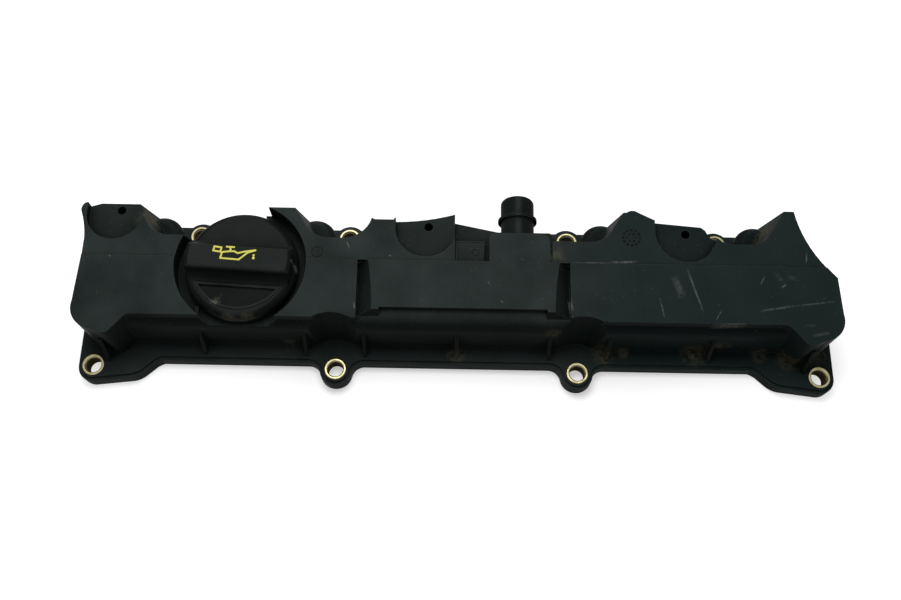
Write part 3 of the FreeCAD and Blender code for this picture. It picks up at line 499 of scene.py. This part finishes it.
# Oil separator: a plain moulded nylon plate under the roof, held by six small thread-forming screws of
# steel. It is never seen in use, so it is left as moulded, and the zinc on the screws is still bright.
PLATE_MARKS = [((-30.0, -10.0), (-20.0, -12.0), 0.6, 1.0, 24.0)]
PLATE_DUST = [((20.0, 5.0, 24.0), 14.0), ((-35.0, -10.0, 24.0), 12.0)]
baffle = plastic("moulded_baffle_nylon", "171B1B", "1D2120", roughness=0.5, grain=0.5, round_edge=0.3,
                 marks=PLATE_MARKS, dust=PLATE_DUST, speck=0.1, side=-1)
dressed("separator_plate", "baffle_plate", "cover", baffle)
steel, place = surface("bright_zinc_plate")
zinc_grey = coat(steel, linear("B4B6B4"), linear("999B98"), noise(steel, place, 2 * MM))
skin = add(steel, "ShaderNodeBsdfPrincipled", {
    "Base Color": zinc_grey, "Metallic": 1.0, "Roughness": 0.36})
add(steel, "ShaderNodeOutputMaterial", {"Surface": skin.outputs[0]})
for index in range(1, 7):
    dressed(f"separator_screw_{index}", f"baffle_screw_{index}", "cover", steel)

# Studio: a white sheet of paper that runs far past the part, one soft box above and behind it, pale
# air all round, and a camera above and in front. Paper and air are white to the eye and in gloss, and
# grey as light on the part. The paper keeps a faint shadow where the flange stands on it.
SHEET_REACH = 6000
SHADOW_REACH = 480
SHADOW_GLOW = 0.46


def seen(material):
    """1 for rays that show a thing to the eye, also in gloss or through glass, and 0 for its light."""
    rays = add(material, "ShaderNodeLightPath")
    kinds = ("Is Camera Ray", "Is Glossy Ray", "Is Transmission Ray")
    return strongest(material, [rays.outputs[kind] for kind in kinds])


sheet = bmesh.new()
bmesh.ops.create_grid(sheet, x_segments=1, y_segments=1, size=SHEET_REACH * MM)
white, place = surface("white_paper_sheet")
paper = add(white, "ShaderNodeBsdfDiffuse", {"Color": linear("8A8A8A")})
# the paper glows less near the part, so that the shadow shows there
near = add(white, "ShaderNodeMapRange", {
    "Value": spot(white, place, (0, 0, 0), SHADOW_REACH),
    "To Min": 1.0, "To Max": SHADOW_GLOW}).outputs["Result"]
glow = add(white, "ShaderNodeEmission", {"Color": linear("FFFFFF"), "Strength": near})
clean = add(white, "ShaderNodeBsdfDiffuse", {"Color": linear("F0F0F0")})
lit = add(white, "ShaderNodeAddShader", {0: glow.outputs[0], 1: clean.outputs[0]})
both = add(white, "ShaderNodeMixShader", {0: seen(white), 1: paper.outputs[0], 2: lit.outputs[0]})
add(white, "ShaderNodeOutputMaterial", {"Surface": both.outputs[0]})
sheet_data = bpy.data.meshes.new("paper_sheet")
sheet.to_mesh(sheet_data)
sheet.free()
sheet_data.materials.append(white)
floor = bpy.data.objects.new("paper_sheet", sheet_data)
bpy.context.scene.collection.objects.link(floor)

# the soft box, its lengths in metres and its power in watts
BOX_PLACE = Vector((-0.06, 0.19, 0.62))
BOX_AIM = Vector((-0.03, 0, 0))
BOX_WIDTH = 0.36
BOX_POWER = 2.8
light = bpy.data.lights.new("soft_box_above", "AREA")
light.shape = "RECTANGLE"
light.size = BOX_WIDTH
light.size_y = BOX_WIDTH
light.energy = BOX_POWER
box = bpy.data.objects.new("soft_box_above", light)
box.location = BOX_PLACE
box.visible_camera = False
box.rotation_euler = (BOX_AIM - BOX_PLACE).to_track_quat("-Z", "Y").to_euler()
bpy.context.scene.collection.objects.link(box)

sky = bpy.data.worlds.new("studio_air")
sky.use_nodes = True
bpy.context.scene.world = sky
air = sky.node_tree.nodes["Background"]
shade = coat(sky, linear("858585"), linear("FFFFFF"), seen(sky))
sky.node_tree.links.new(shade, air.inputs["Color"])

# the camera that was fitted to the photograph: its focal length is 1000 pixels on a 901 wide picture
PITCH = math.radians(69.5)
ROLL = math.radians(1.03)
CAMERA_PLACE = (-4.0 * MM, -203.3 * MM, 557.1 * MM)
SENSOR_WIDTH = 36.0
FOCAL_LENGTH = 39.96
looking = Vector((0, math.cos(PITCH), -math.sin(PITCH)))
level = Vector((1, 0, 0))
rise = Vector((0, math.sin(PITCH), math.cos(PITCH)))
right = level * math.cos(ROLL) + rise * math.sin(ROLL)
up = rise * math.cos(ROLL) - level * math.sin(ROLL)
lens = bpy.data.cameras.new("camera")
lens.sensor_width = SENSOR_WIDTH
lens.lens = FOCAL_LENGTH
lens.clip_start = 0.05
camera = bpy.data.objects.new("camera", lens)
camera.matrix_world = (Matrix.Translation(CAMERA_PLACE)
                       @ Matrix((right, up, -looking)).transposed().to_4x4())
bpy.context.scene.collection.objects.link(camera)
bpy.context.scene.camera = camera
bpy.context.scene.view_settings.view_transform = "Standard"
